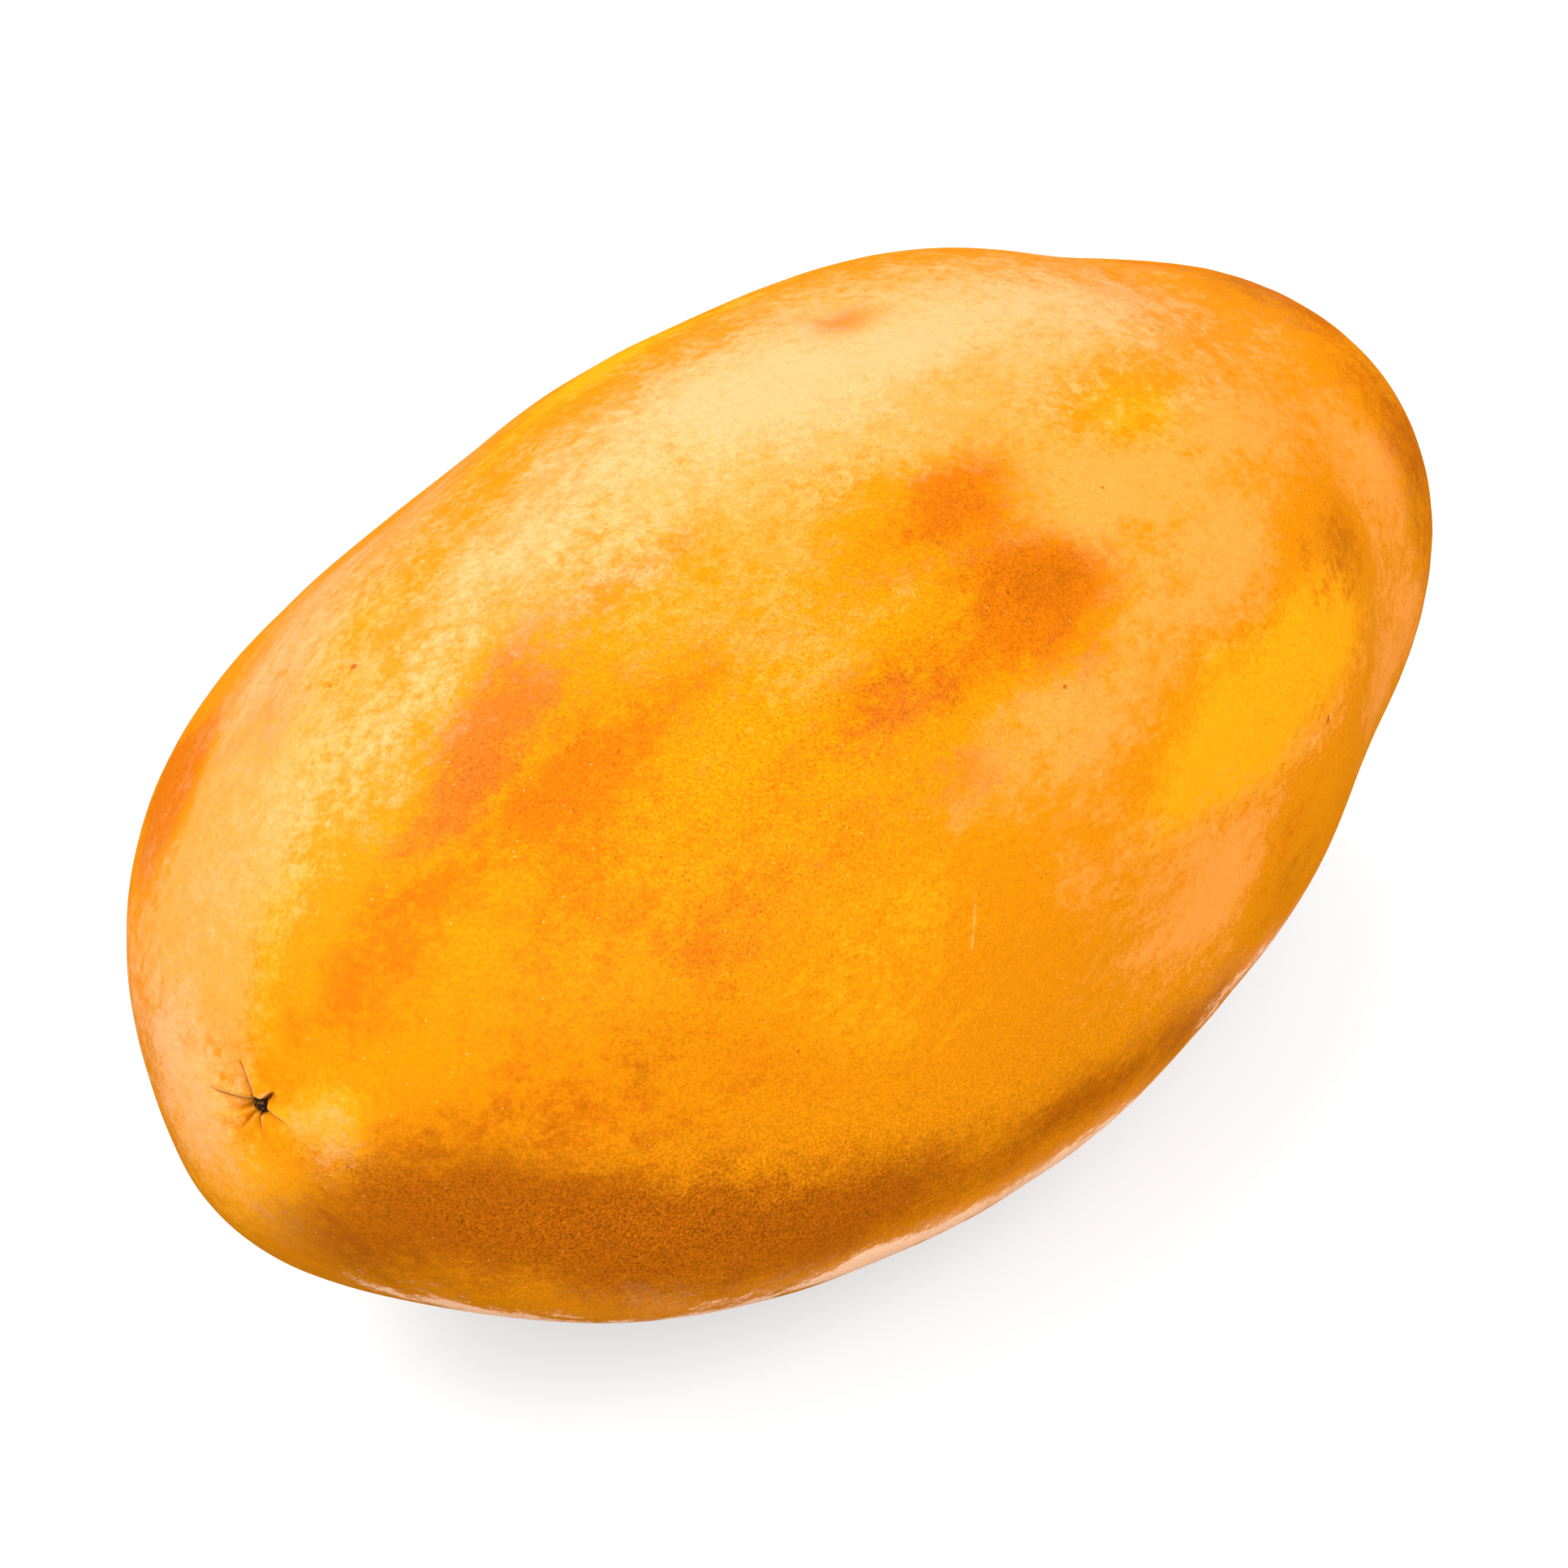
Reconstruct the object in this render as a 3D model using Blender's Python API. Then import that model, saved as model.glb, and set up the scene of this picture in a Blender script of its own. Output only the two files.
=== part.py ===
"""A whole ripe papaya, lying on its flattened underside, with the dry rest of its flower at
one end and a short cut stalk at the other.

The fruit is one body. It starts as a sphere whose poles are the blossom end, at -X, and the
stem end, at +X. Every point is then moved out to the fruit's own form: a rounded length of
LENGTH with five low ridges, a slight neck, a creased star round the flower's pit, and a
hollow for the stalk. Units are metres, +Z is up, and the origin is on the surface that the
fruit lies on, below the middle of its outer size.
"""

from math import acos, atan2, cos, exp, hypot, pi, radians, sin

import bmesh
import bpy
from mathutils import Vector

MM = 0.001

# Driving dimensions of the fruit
LENGTH = 260 * MM
BLOSSOM_PART = 113.5 * MM  # from the widest place to the blossom tip
GIRTH_RADIUS = 66.8 * MM
HEIGHT_SHARE = 0.97  # the fruit is a little less high than wide
FULLNESS = 2.09  # 2 is an ellipse, and more is squarer at the shoulders
TILT = radians(3.4)  # the blossom end lies this much higher than the stem end

# The five ridges that run from end to end
RIDGES = 5
FIRST_RIDGE = radians(150)
RIDGE_SHARE = 0.035  # of the radius, at the widest place
STAR_RIDGE_SHARE = 0.031  # of the radius, near the blossom end
STAR_RIDGE_AT = radians(28)
STAR_RIDGE_WIDTH = radians(22)

# The underside that it lay on: flatter, with fainter ridges
UNDERSIDE_AT = radians(270)
UNDERSIDE_WIDTH = radians(28)
UNDERSIDE_SHARE = 0.03
UNDERSIDE_CALM = 0.9
FLAT_PRESS = 0.8 * MM  # how far its own weight presses the resting spot flat

# The neck before the stem end
NECK_SHARE = 0.05
NECK_AT = radians(152)
NECK_WIDTH = radians(12)

# Low swells and dents from its growth: degrees from the blossom tip, degrees round, height
SWELL_WIDTH = radians(16)
SWELLS = (
    (23, 3, -1.3 * MM),
    (18, 306, 2.0 * MM),
    (61, 46, -2.8 * MM),
    (101, 221, 0.5 * MM),
    (128, 214, -1.0 * MM),
    (136, 78, 0.3 * MM),
    (164, 88, 1.2 * MM),
)

# The star at the blossom end: the degrees round and the length of each crease, and the side
# that its lip stands on, 1 towards greater angles and -1 towards smaller
CREASES = (
    (60, 6.8 * MM, 1),
    (355, 8.5 * MM, 1),
    (330, 7.3 * MM, -1),
    (300, 8.0 * MM, -1),
    (260, 4.8 * MM, -1),
    (195, 5.2 * MM, -1),
    (130, 4.1 * MM, -1),
)
CREASE_DEPTH = 1.5 * MM
CREASE_FADE = 0.6  # 1 fades evenly towards the crease's end, and less keeps it deep for longer
CREASE_STEEP = 0.25 * MM  # on the lip's side
CREASE_SLOPE = 1.4 * MM  # on the other side
LIP_SHARE = 0.35  # of the crease's depth, by which its lip swells up
LIP_PLACE = 0.9 * MM
LIP_WIDTH = 0.8 * MM
DIMPLE_DEPTH = 0.4 * MM
DIMPLE_RADIUS = 7 * MM
PIT_DEPTH = 1.8 * MM
PIT_FLOOR_RADIUS = 1.2 * MM
PIT_RADIUS = 1.7 * MM

# The hollow at the stem end, with the flat seat of the stalk in its middle
HOLLOW_DEPTH = 4 * MM
HOLLOW_RADIUS = 11 * MM
SEAT_DEPTH = 3.4 * MM
SEAT_RADIUS = 7.2 * MM
SEAT_EDGE_RADIUS = 9 * MM

# The stalk and the flower's rest, which both keep a gap to the fruit
STALK_LENGTH = 8.5 * MM
STALK_RADIUS = 5.2 * MM
STALK_FOOT_RADIUS = 6.6 * MM
STALK_FLARE = 3  # the power that keeps the widening close to the foot
STALK_ANGLE_SHARE = 0.05  # of the radius: the stalk is faintly five-sided
STALK_ROUNDING = 0.6 * MM
STALK_SIDES = 40
STALK_BANDS = 5
REMNANT_RADIUS = 1.2 * MM
REMNANT_THICKNESS = 1.6 * MM
REMNANT_LUMP = 0.2  # of its size, between its lumps
REMNANT_LOBES = 4  # lumps round it
REMNANT_TWIST = 3  # how far, in radians, the lumps turn from its middle to its ends
REMNANT_LINES = 20
REMNANT_RINGS = 12
GAP = 0.3 * MM

# How many lines run from tip to stem, and how the rings across them are spread, in degrees
LINES = 72
FIRST_RING = 0.6
STAR_STEP = 0.15
STAR_GROWTH = 0.17
WIDEST_STEP = 4.6
STEM_STEP = 0.9
STEM_GROWTH = 0.2
SHARP_EDGE = radians(50)  # edges that bend more than this are shaded as edges

DOWN = Vector((sin(TILT), 0, -cos(TILT)))  # in the fruit's own axes


def bump(distance, width):
    """1 at no distance, and falling away to both sides over the width."""
    return exp(-((distance / width) ** 2))


def turn_between(angle, other):
    """The way from one angle to another, from minus half a turn to half a turn."""
    return (angle - other + pi) % (2 * pi) - pi


def within(radius, inner, outer):
    """1 inside the inner radius, 0 outside the outer one, and a smooth fall between."""
    share = min(max((outer - radius) / (outer - inner), 0), 1)
    return share * share * (3 - 2 * share)


def direction(along, around):
    """The way out at an angle along from the blossom tip and an angle around the fruit."""
    return Vector((-cos(along), sin(along) * cos(around), sin(along) * sin(around)))


def girth_radius(along, around):
    """How far the fruit reaches sideways there, with its ridges and its calmer underside."""
    fullest = sin(along) ** 2
    under = bump(turn_between(around, UNDERSIDE_AT), UNDERSIDE_WIDTH) * fullest
    ridge = RIDGE_SHARE * fullest
    ridge += STAR_RIDGE_SHARE * bump(along - STAR_RIDGE_AT, STAR_RIDGE_WIDTH)
    ridge *= (1 - UNDERSIDE_CALM * under) * cos(RIDGES * (around - FIRST_RIDGE))
    return GIRTH_RADIUS * (1 + ridge - UNDERSIDE_SHARE * under)


def swelling(out):
    """The height of the low swells and dents in a direction."""
    height = 0
    for along, around, peak in SWELLS:
        towards = direction(radians(along), radians(around))
        height += peak * exp(2 * (out.dot(towards) - 1) / SWELL_WIDTH**2)
    return height


def crease_shape(aside):
    """A crease's depth across it, as a share: a steep side under its lip, and a slope."""
    if aside < 0:
        return exp(aside / CREASE_SLOPE)
    return exp(-aside / CREASE_STEEP) - LIP_SHARE * bump(aside - LIP_PLACE, LIP_WIDTH)


def star_depth(radius, around):
    """How deep the dimple, the creases and the pit lie, at a radius from the blossom tip."""
    depth = DIMPLE_DEPTH * bump(radius, DIMPLE_RADIUS)
    for degrees_round, length, lip_side in CREASES:
        turn = turn_between(around, radians(degrees_round))
        if abs(turn) < pi / 2 and radius < length:
            fade = cos(turn) * (1 - radius / length) ** CREASE_FADE
            depth += CREASE_DEPTH * fade * crease_shape(radius * sin(turn) * lip_side)
    in_pit = within(radius, PIT_FLOOR_RADIUS, PIT_RADIUS)
    return depth + in_pit * (DIMPLE_DEPTH + PIT_DEPTH - depth)


def seat_place():
    """Where the stalk's flat seat lies along the fruit's axis."""
    return LENGTH - BLOSSOM_PART - SEAT_DEPTH


def skin_point(along, around):
    """The point of the skin there, in the fruit's own axes."""
    half = BLOSSOM_PART if along < pi / 2 else LENGTH - BLOSSOM_PART
    lengthwise = (abs(cos(along)) / half) ** FULLNESS
    crosswise = (sin(along) / girth_radius(along, around)) ** FULLNESS
    reach = (lengthwise + crosswise) ** (-1 / FULLNESS)
    reach *= 1 - NECK_SHARE * bump(along - NECK_AT, NECK_WIDTH)
    out = direction(along, around)
    point = out * (reach + swelling(out))
    radius = hypot(point.y, point.z)
    if along < pi / 2:
        point.x += star_depth(radius, around)
    else:
        point.x -= HOLLOW_DEPTH * bump(radius, HOLLOW_RADIUS)
        on_seat = within(radius, SEAT_RADIUS, SEAT_EDGE_RADIUS)
        point.x += on_seat * (seat_place() - point.x)
    point.z *= HEIGHT_SHARE
    return point


def ring_angles():
    """The angle of each ring of points, from tip to stem, with close rings at both ends."""
    angles = [0, FIRST_RING]
    while angles[-1] < 180 - 1.5 * STEM_STEP:
        here = angles[-1]
        near_star = STAR_STEP + STAR_GROWTH * here
        near_stem = STEM_STEP + STEM_GROWTH * (180 - here)
        angles.append(here + min(near_star, near_stem, WIDEST_STEP))
    return [radians(angle) for angle in angles] + [pi]


def press_flat(verts):
    """Raises what lies lowest onto one level spot, which the fruit then rests on."""
    lowest = max(vert.co.dot(DOWN) for vert in verts)
    for vert in verts:
        below = vert.co.dot(DOWN) - lowest + FLAT_PRESS
        if below > 0:
            vert.co -= DOWN * below


def shape_fruit(shape):
    """A sphere whose rings and lines of points are moved out to the skin."""
    rings = ring_angles()
    bands = len(rings) - 1
    bmesh.ops.create_uvsphere(shape, u_segments=LINES, v_segments=bands, radius=1)
    for vert in shape.verts:
        ring = round(acos(max(-1, min(1, vert.co.z))) / pi * bands)
        vert.co = skin_point(rings[ring], atan2(vert.co.y, vert.co.x))
    press_flat(shape.verts)


def shape_stalk(shape):
    """A short, faintly five-sided stalk with a wider foot, cut straight across."""
    bmesh.ops.create_cone(
        shape,
        cap_ends=True,
        segments=STALK_SIDES,
        radius1=STALK_FOOT_RADIUS,
        radius2=STALK_RADIUS,
        depth=STALK_LENGTH,
    )
    sides = [edge for edge in shape.edges if len({vert.co.z for vert in edge.verts}) == 2]
    bmesh.ops.subdivide_edges(shape, edges=sides, cuts=STALK_BANDS - 1)
    top = max(vert.co.z for vert in shape.verts)
    rim = [edge for edge in shape.edges if all(vert.co.z == top for vert in edge.verts)]
    bmesh.ops.bevel(
        shape,
        geom=rim,
        offset=STALK_ROUNDING,
        offset_type="OFFSET",
        affect="EDGES",
        segments=2,
        profile=0.5,
        material=-1,
    )
    widening = STALK_FOOT_RADIUS - STALK_RADIUS
    for vert in shape.verts:
        around = atan2(vert.co.y, vert.co.x)
        down = 0.5 - vert.co.z / STALK_LENGTH
        flare = (STALK_RADIUS + widening * down**STALK_FLARE) / (STALK_RADIUS + widening * down)
        angles = 1 + STALK_ANGLE_SHARE * cos(RIDGES * (around - FIRST_RIDGE))
        radius = hypot(vert.co.x, vert.co.y) * flare * angles
        height = seat_place() + GAP + STALK_LENGTH / 2 + vert.co.z
        vert.co = (height, radius * cos(around), radius * sin(around))


def shape_remnant(shape):
    """The shrivelled rest of the flower: a small lumpy clump on the floor of the pit."""
    bmesh.ops.create_uvsphere(
        shape,
        u_segments=REMNANT_LINES,
        v_segments=REMNANT_RINGS,
        radius=1,
    )
    floor = BLOSSOM_PART - DIMPLE_DEPTH - PIT_DEPTH
    middle = Vector((-floor - GAP - REMNANT_THICKNESS / 2, 0, 0))
    for vert in shape.verts:
        around = atan2(vert.co.y, vert.co.x)
        lump = sin(REMNANT_LOBES * around + REMNANT_TWIST * vert.co.z) * (1 - vert.co.z**2)
        size = 1 - REMNANT_LUMP * (0.5 - 0.5 * lump)
        across = vert.co.x * REMNANT_RADIUS
        upward = vert.co.y * REMNANT_RADIUS
        vert.co = middle + size * Vector((vert.co.z * REMNANT_THICKNESS / 2, across, upward))


def make_material(name, colour, roughness):
    """A plain material of one colour."""
    material = bpy.data.materials.new(name)
    material.use_nodes = True
    surface = material.node_tree.nodes["Principled BSDF"]
    surface.inputs["Base Color"].default_value = (*colour, 1)
    surface.inputs["Roughness"].default_value = roughness
    surface.inputs["Metallic"].default_value = 0
    return material


def make_piece(name, shape_piece, collection, pose, material):
    """One named, smooth object, from the function that shapes its mesh."""
    shape = bmesh.new()
    shape_piece(shape)
    bmesh.ops.recalc_face_normals(shape, faces=shape.faces)
    mesh = bpy.data.meshes.new(name)
    shape.to_mesh(mesh)
    shape.free()
    mesh.shade_smooth()
    mesh.set_sharp_from_angle(angle=SHARP_EDGE)
    mesh.materials.append(material)
    piece = bpy.data.objects.new(name, mesh)
    piece.parent = pose
    collection.objects.link(piece)
    return piece


def set_down(pose, pieces):
    """Tilts the fruit as it lies, and puts the origin below the middle of its outer size."""
    pose.rotation_euler = (0, TILT, 0)
    bpy.context.view_layer.update()
    points = [piece.matrix_world @ vert.co for piece in pieces for vert in piece.data.vertices]
    lows = [min(point[axis] for point in points) for axis in range(3)]
    highs = [max(point[axis] for point in points) for axis in range(3)]
    pose.location = (-(lows[0] + highs[0]) / 2, -(lows[1] + highs[1]) / 2, -lows[2])


def main():
    for old in list(bpy.data.objects):
        bpy.data.objects.remove(old)
    collection = bpy.data.collections.new("papaya")
    bpy.context.scene.collection.children.link(collection)
    pose = bpy.data.objects.new("fruit_axis", None)
    collection.objects.link(pose)
    skin = make_material("ripe_skin", (0.93, 0.36, 0.03), 0.42)
    dry = make_material("dry_flower", (0.02, 0.012, 0.006), 0.85)
    bark = make_material("stalk_bark", (0.19, 0.13, 0.05), 0.75)
    pieces = [
        make_piece("fruit", shape_fruit, collection, pose, skin),
        make_piece("blossom_remnant", shape_remnant, collection, pose, dry),
        make_piece("stem_stub", shape_stalk, collection, pose, bark),
    ]
    set_down(pose, pieces)


main()
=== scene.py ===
# %% [markdown]
# # A ripe papaya
#
# A whole ripe papaya lies on a white table. Its skin is waxy and satin: golden orange, with
# deeper orange and yellow clouds, and over them a thin peach bloom that is worn through in
# mottled patches. The packed solids give the place and size of every piece. This script
# keeps those sizes and adds what the solids leave out: the fine form, the skin and the light.

# %% Load the fixed frame
from math import acos, atan2, cos, exp, hypot, pi, radians, sin

import bmesh
import bpy
import numpy as np
from mathutils import Matrix, Vector, noise


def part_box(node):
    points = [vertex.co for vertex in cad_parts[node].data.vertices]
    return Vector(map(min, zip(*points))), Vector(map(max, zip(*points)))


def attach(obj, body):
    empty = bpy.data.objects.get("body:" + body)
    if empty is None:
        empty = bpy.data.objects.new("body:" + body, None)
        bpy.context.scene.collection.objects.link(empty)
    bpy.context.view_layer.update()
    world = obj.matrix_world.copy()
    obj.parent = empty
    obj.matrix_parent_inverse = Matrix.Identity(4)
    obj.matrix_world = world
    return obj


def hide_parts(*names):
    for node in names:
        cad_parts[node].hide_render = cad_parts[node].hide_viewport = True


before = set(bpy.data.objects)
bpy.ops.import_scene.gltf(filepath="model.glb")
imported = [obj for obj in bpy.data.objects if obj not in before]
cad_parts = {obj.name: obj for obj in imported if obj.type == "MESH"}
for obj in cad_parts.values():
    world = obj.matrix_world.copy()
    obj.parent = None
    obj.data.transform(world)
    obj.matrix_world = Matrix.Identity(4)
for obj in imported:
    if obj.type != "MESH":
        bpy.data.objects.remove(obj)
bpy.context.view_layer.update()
MM = 0.001

# %% [markdown]
# ## The form
#
# A papaya is a swollen tube that ends in a blunt tip, where the flower was, and in a slight
# neck, where the stalk is. Five low ridges run between them, because its seeds are borne on
# five walls. A sphere could be sculpted by hand, but a formula gives the same skin at any
# fineness: the solid uses it with few points, and this script with many. The angle `along`
# runs from the blossom tip to the stem, and `around` runs once round the fruit.

# %% Sizes of the whole fruit
LENGTH = 260 * MM
BLOSSOM_PART = 113.5 * MM
GIRTH_RADIUS = 66.8 * MM
HEIGHT_SHARE = 0.97
FULLNESS = 2.09
TILT = radians(3.4)
WIDEST_PLACE = Vector((-18.99, -1.74, 62.73)) * MM

RIDGES = 5
FIRST_RIDGE = radians(150)
RIDGE_SHARE = 0.035
STAR_RIDGE_SHARE = 0.031
STAR_RIDGE_AT = radians(28)
STAR_RIDGE_WIDTH = radians(22)

UNDERSIDE_AT = radians(270)
UNDERSIDE_WIDTH = radians(28)
UNDERSIDE_SHARE = 0.03
UNDERSIDE_CALM = 0.9

NECK_SHARE = 0.05
NECK_AT = radians(152)
NECK_WIDTH = radians(12)

# Each swell or dent: degrees along, degrees round, and its height at the middle.
SWELL_WIDTH = radians(16)
SWELLS = (
    (23, 3, -1.3 * MM),
    (18, 306, 2.0 * MM),
    (61, 46, -2.8 * MM),
    (101, 221, 0.5 * MM),
    (128, 214, -1.0 * MM),
    (136, 78, 0.3 * MM),
    (164, 88, 1.2 * MM),
)
print("girth", round(2 * GIRTH_RADIUS / MM, 1), "mm, length", round(LENGTH / MM, 1), "mm")


# %% Bumps, directions and girth
def bump(distance, width):
    """1 at no distance, and falling away to both sides over the width."""
    return exp(-((distance / width) ** 2))


def turn_between(angle, other):
    """The way from one angle to another, from minus half a turn to half a turn."""
    return (angle - other + pi) % (2 * pi) - pi


def within(radius, inner, outer):
    """1 inside the inner radius, 0 outside the outer one, and a smooth fall between."""
    share = min(max((outer - radius) / (outer - inner), 0), 1)
    return share * share * (3 - 2 * share)


def direction(along, around):
    """The way out at an angle along from the blossom tip and an angle around the fruit."""
    return Vector((-cos(along), sin(along) * cos(around), sin(along) * sin(around)))


def girth_radius(along, around):
    """How far the fruit reaches sideways there, with its ridges and its calmer underside."""
    fullest = sin(along) ** 2
    under = bump(turn_between(around, UNDERSIDE_AT), UNDERSIDE_WIDTH) * fullest
    ridge = RIDGE_SHARE * fullest
    ridge += STAR_RIDGE_SHARE * bump(along - STAR_RIDGE_AT, STAR_RIDGE_WIDTH)
    ridge *= (1 - UNDERSIDE_CALM * under) * cos(RIDGES * (around - FIRST_RIDGE))
    return GIRTH_RADIUS * (1 + ridge - UNDERSIDE_SHARE * under)


def swelling(out):
    """The height of the low swells and dents in a direction."""
    height = 0
    for along, around, peak in SWELLS:
        towards = direction(radians(along), radians(around))
        height += peak * exp(2 * (out.dot(towards) - 1) / SWELL_WIDTH**2)
    return height


on_ridge = girth_radius(pi / 2, FIRST_RIDGE)
between = girth_radius(pi / 2, FIRST_RIDGE + pi / RIDGES)
print("ridges", RIDGES, "rise by", round((on_ridge - between) / MM, 1), "mm")

# %% [markdown]
# ## The star at the blossom end
#
# The five carpels of a papaya close round the scar of the flower, and their skin meets there
# in short creases. Each crease is a fold: one side drops under a rounded lip, and the other
# rises slowly, like petals that overlap. Cutting them with a knife tool would leave hard
# edges, so each crease is a depth that is added to the skin near the tip.

# %% Creases, pit and stem hollow
# Each crease: the degrees round at which it runs out, its length, and its lip's side.
CREASES = (
    (60, 6.8 * MM, 1),
    (355, 8.5 * MM, 1),
    (330, 7.3 * MM, -1),
    (300, 8.0 * MM, -1),
    (260, 4.8 * MM, -1),
    (195, 5.2 * MM, -1),
    (130, 4.1 * MM, -1),
)
CREASE_DEPTH = 1.5 * MM
CREASE_FADE = 0.6
CREASE_STEEP = 0.25 * MM
CREASE_SLOPE = 1.4 * MM
LIP_SHARE = 0.35
LIP_PLACE = 0.9 * MM
LIP_WIDTH = 0.8 * MM
DIMPLE_DEPTH = 0.4 * MM
DIMPLE_RADIUS = 7 * MM
PIT_DEPTH = 1.8 * MM
PIT_FLOOR_RADIUS = 1.2 * MM
PIT_RADIUS = 1.7 * MM

HOLLOW_DEPTH = 4 * MM
HOLLOW_RADIUS = 11 * MM
SEAT_DEPTH = 3.4 * MM
SEAT_RADIUS = 7.2 * MM
SEAT_EDGE_RADIUS = 9 * MM
print("creases", len(CREASES), "deepest", CREASE_DEPTH / MM, "mm")


# %% The skin's place, with its star and hollow
def crease_shape(aside):
    """A crease's depth across it, as a share: a steep side under its lip, and a slope."""
    if aside < 0:
        return exp(aside / CREASE_SLOPE)
    return exp(-aside / CREASE_STEEP) - LIP_SHARE * bump(aside - LIP_PLACE, LIP_WIDTH)


def creases_near(radius, around):
    """Which creases are near a place, how strong each is there, and how far it lies aside."""
    near = []
    for which, (degrees_round, length, lip_side) in enumerate(CREASES):
        turn = turn_between(around, radians(degrees_round))
        if abs(turn) < pi / 2 and radius < length:
            fade = cos(turn) * (1 - radius / length) ** CREASE_FADE
            near.append((which, fade, radius * sin(turn) * lip_side))
    return near


def star_depth(radius, around):
    """How deep the dimple, the creases and the pit lie, at a radius from the blossom tip."""
    depth = DIMPLE_DEPTH * bump(radius, DIMPLE_RADIUS)
    for _, fade, aside in creases_near(radius, around):
        depth += CREASE_DEPTH * fade * crease_shape(aside)
    in_pit = within(radius, PIT_FLOOR_RADIUS, PIT_RADIUS)
    return depth + in_pit * (DIMPLE_DEPTH + PIT_DEPTH - depth)


def seat_place():
    """Where the stalk's flat seat lies along the fruit's axis."""
    return LENGTH - BLOSSOM_PART - SEAT_DEPTH


def skin_point(along, around):
    """The point of the skin there, in the fruit's own axes."""
    half = BLOSSOM_PART if along < pi / 2 else LENGTH - BLOSSOM_PART
    lengthwise = (abs(cos(along)) / half) ** FULLNESS
    crosswise = (sin(along) / girth_radius(along, around)) ** FULLNESS
    reach = (lengthwise + crosswise) ** (-1 / FULLNESS)
    reach *= 1 - NECK_SHARE * bump(along - NECK_AT, NECK_WIDTH)
    out = direction(along, around)
    point = out * (reach + swelling(out))
    radius = hypot(point.y, point.z)
    if along < pi / 2:
        point.x += star_depth(radius, around)
    else:
        point.x -= HOLLOW_DEPTH * bump(radius, HOLLOW_RADIUS)
        on_seat = within(radius, SEAT_RADIUS, SEAT_EDGE_RADIUS)
        point.x += on_seat * (seat_place() - point.x)
    point.z *= HEIGHT_SHARE
    return point


pit_to_seat = (skin_point(pi, 0) - skin_point(0, 0)).length
print("from the pit's floor to the stalk's seat", round(pit_to_seat / MM, 1), "mm")

# %% [markdown]
# ## Small growth marks
#
# No fruit is as even as a formula. Its skin swells and sinks by a fraction of a millimetre
# over a few centimetres, it puckers round the stalk, and it carries a few warts and dents.
# These come from smooth noise and a short list of marks, and they only move the skin by
# less than half a millimetre, so the fruit keeps its size.

# %% Uneven growth, warts and puckers
UNEVEN = 0.22 * MM
UNEVEN_SIZE = 21 * MM
FINER_SHARE = 0.5
FINER_TIMES = 2.3
PUCKERS = 17
PUCKER_DEPTH = 0.35 * MM
PUCKER_AT = 13 * MM
PUCKER_WIDTH = 4.5 * MM
PUCKER_WANDER = 4
WANDERS_ROUND = 3
MARK_ENDS = 3
# Each mark: degrees along, degrees round, its reach, and its height or depth.
MARKS = (
    (26, 134, 2.0 * MM, 0.45 * MM),
    (17, 123, 2.4 * MM, 0.35 * MM),
    (29, 128, 1.8 * MM, -0.25 * MM),
    (85, 141, 1.8 * MM, -0.3 * MM),
    (35, 78, 2.0 * MM, -0.45 * MM),
    (31, 74, 2.0 * MM, -0.45 * MM),
    (107, 84, 6.0 * MM, -0.35 * MM),
    (98, 80, 4.0 * MM, 0.25 * MM),
    (131, 173, 1.8 * MM, -0.35 * MM),
)
mark_places = [
    (skin_point(radians(along), radians(around)), reach, height)
    for along, around, reach, height in MARKS
]


def growth(point, radius, around):
    """How far the small growth marks lift the skin at a point."""
    lift = UNEVEN * noise.noise(point / UNEVEN_SIZE)
    lift += FINER_SHARE * UNEVEN * noise.noise(point / UNEVEN_SIZE * FINER_TIMES)
    for place, reach, height in mark_places:
        distance = (point - place).length
        if distance < MARK_ENDS * reach:
            lift += height * bump(distance, reach)
    if point.x > 0:
        fold = noise.noise(Vector((cos(around), sin(around), 0)) * WANDERS_ROUND)
        pucker = cos(PUCKERS * around + PUCKER_WANDER * fold)
        lift += PUCKER_DEPTH * pucker * bump(radius - PUCKER_AT, PUCKER_WIDTH)
        lift *= 1 - within(radius, SEAT_RADIUS, SEAT_EDGE_RADIUS)
    return lift


print("marks", len(MARKS))

# %% [markdown]
# ## The fruit's mesh
#
# The mesh is a sphere whose poles are the two ends of the fruit. Its rings are close
# together near the tip, where the creases are under a millimetre wide, and further apart
# along the body. Each point is moved out to the skin, turned by the tilt with which the
# fruit lies, and kept from sinking into the table where its weight has pressed it flat.

# %% Rings, from the tip to the stem
LINES = 360
FIRST_RING = 0.15
STAR_STEP = 0.05
STAR_GROWTH = 0.03
WIDEST_STEP = 1.6
STEM_STEP = 0.5
STEM_GROWTH = 0.07
LAST_STEPS = 1.5


def ring_angles():
    """The angle of each ring of points, from tip to stem, with close rings at both ends."""
    angles = [0, FIRST_RING]
    while angles[-1] < 180 - LAST_STEPS * STEM_STEP:
        here = angles[-1]
        near_star = STAR_STEP + STAR_GROWTH * here
        near_stem = STEM_STEP + STEM_GROWTH * (180 - here)
        angles.append(here + min(near_star, near_stem, WIDEST_STEP))
    return [radians(angle) for angle in angles] + [pi]


rings = ring_angles()
bands = len(rings) - 1
print("rings", len(rings), "with", LINES, "points each")


# %% The skin as it lies
def lie_down(point):
    """From the fruit's own axes to its place on the table."""
    placed = Matrix.Rotation(TILT, 3, "Y") @ point + WIDEST_PLACE
    placed.z = max(placed.z, 0)
    return placed


def make_object(name, shape):
    """A smooth object from a bmesh, which lies still with the fruit."""
    bmesh.ops.recalc_face_normals(shape, faces=shape.faces)
    mesh = bpy.data.meshes.new(name)
    shape.to_mesh(mesh)
    shape.free()
    mesh.shade_smooth()
    piece = bpy.data.objects.new(name, mesh)
    bpy.context.scene.collection.objects.link(piece)
    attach(piece, "root")
    return piece


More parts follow.
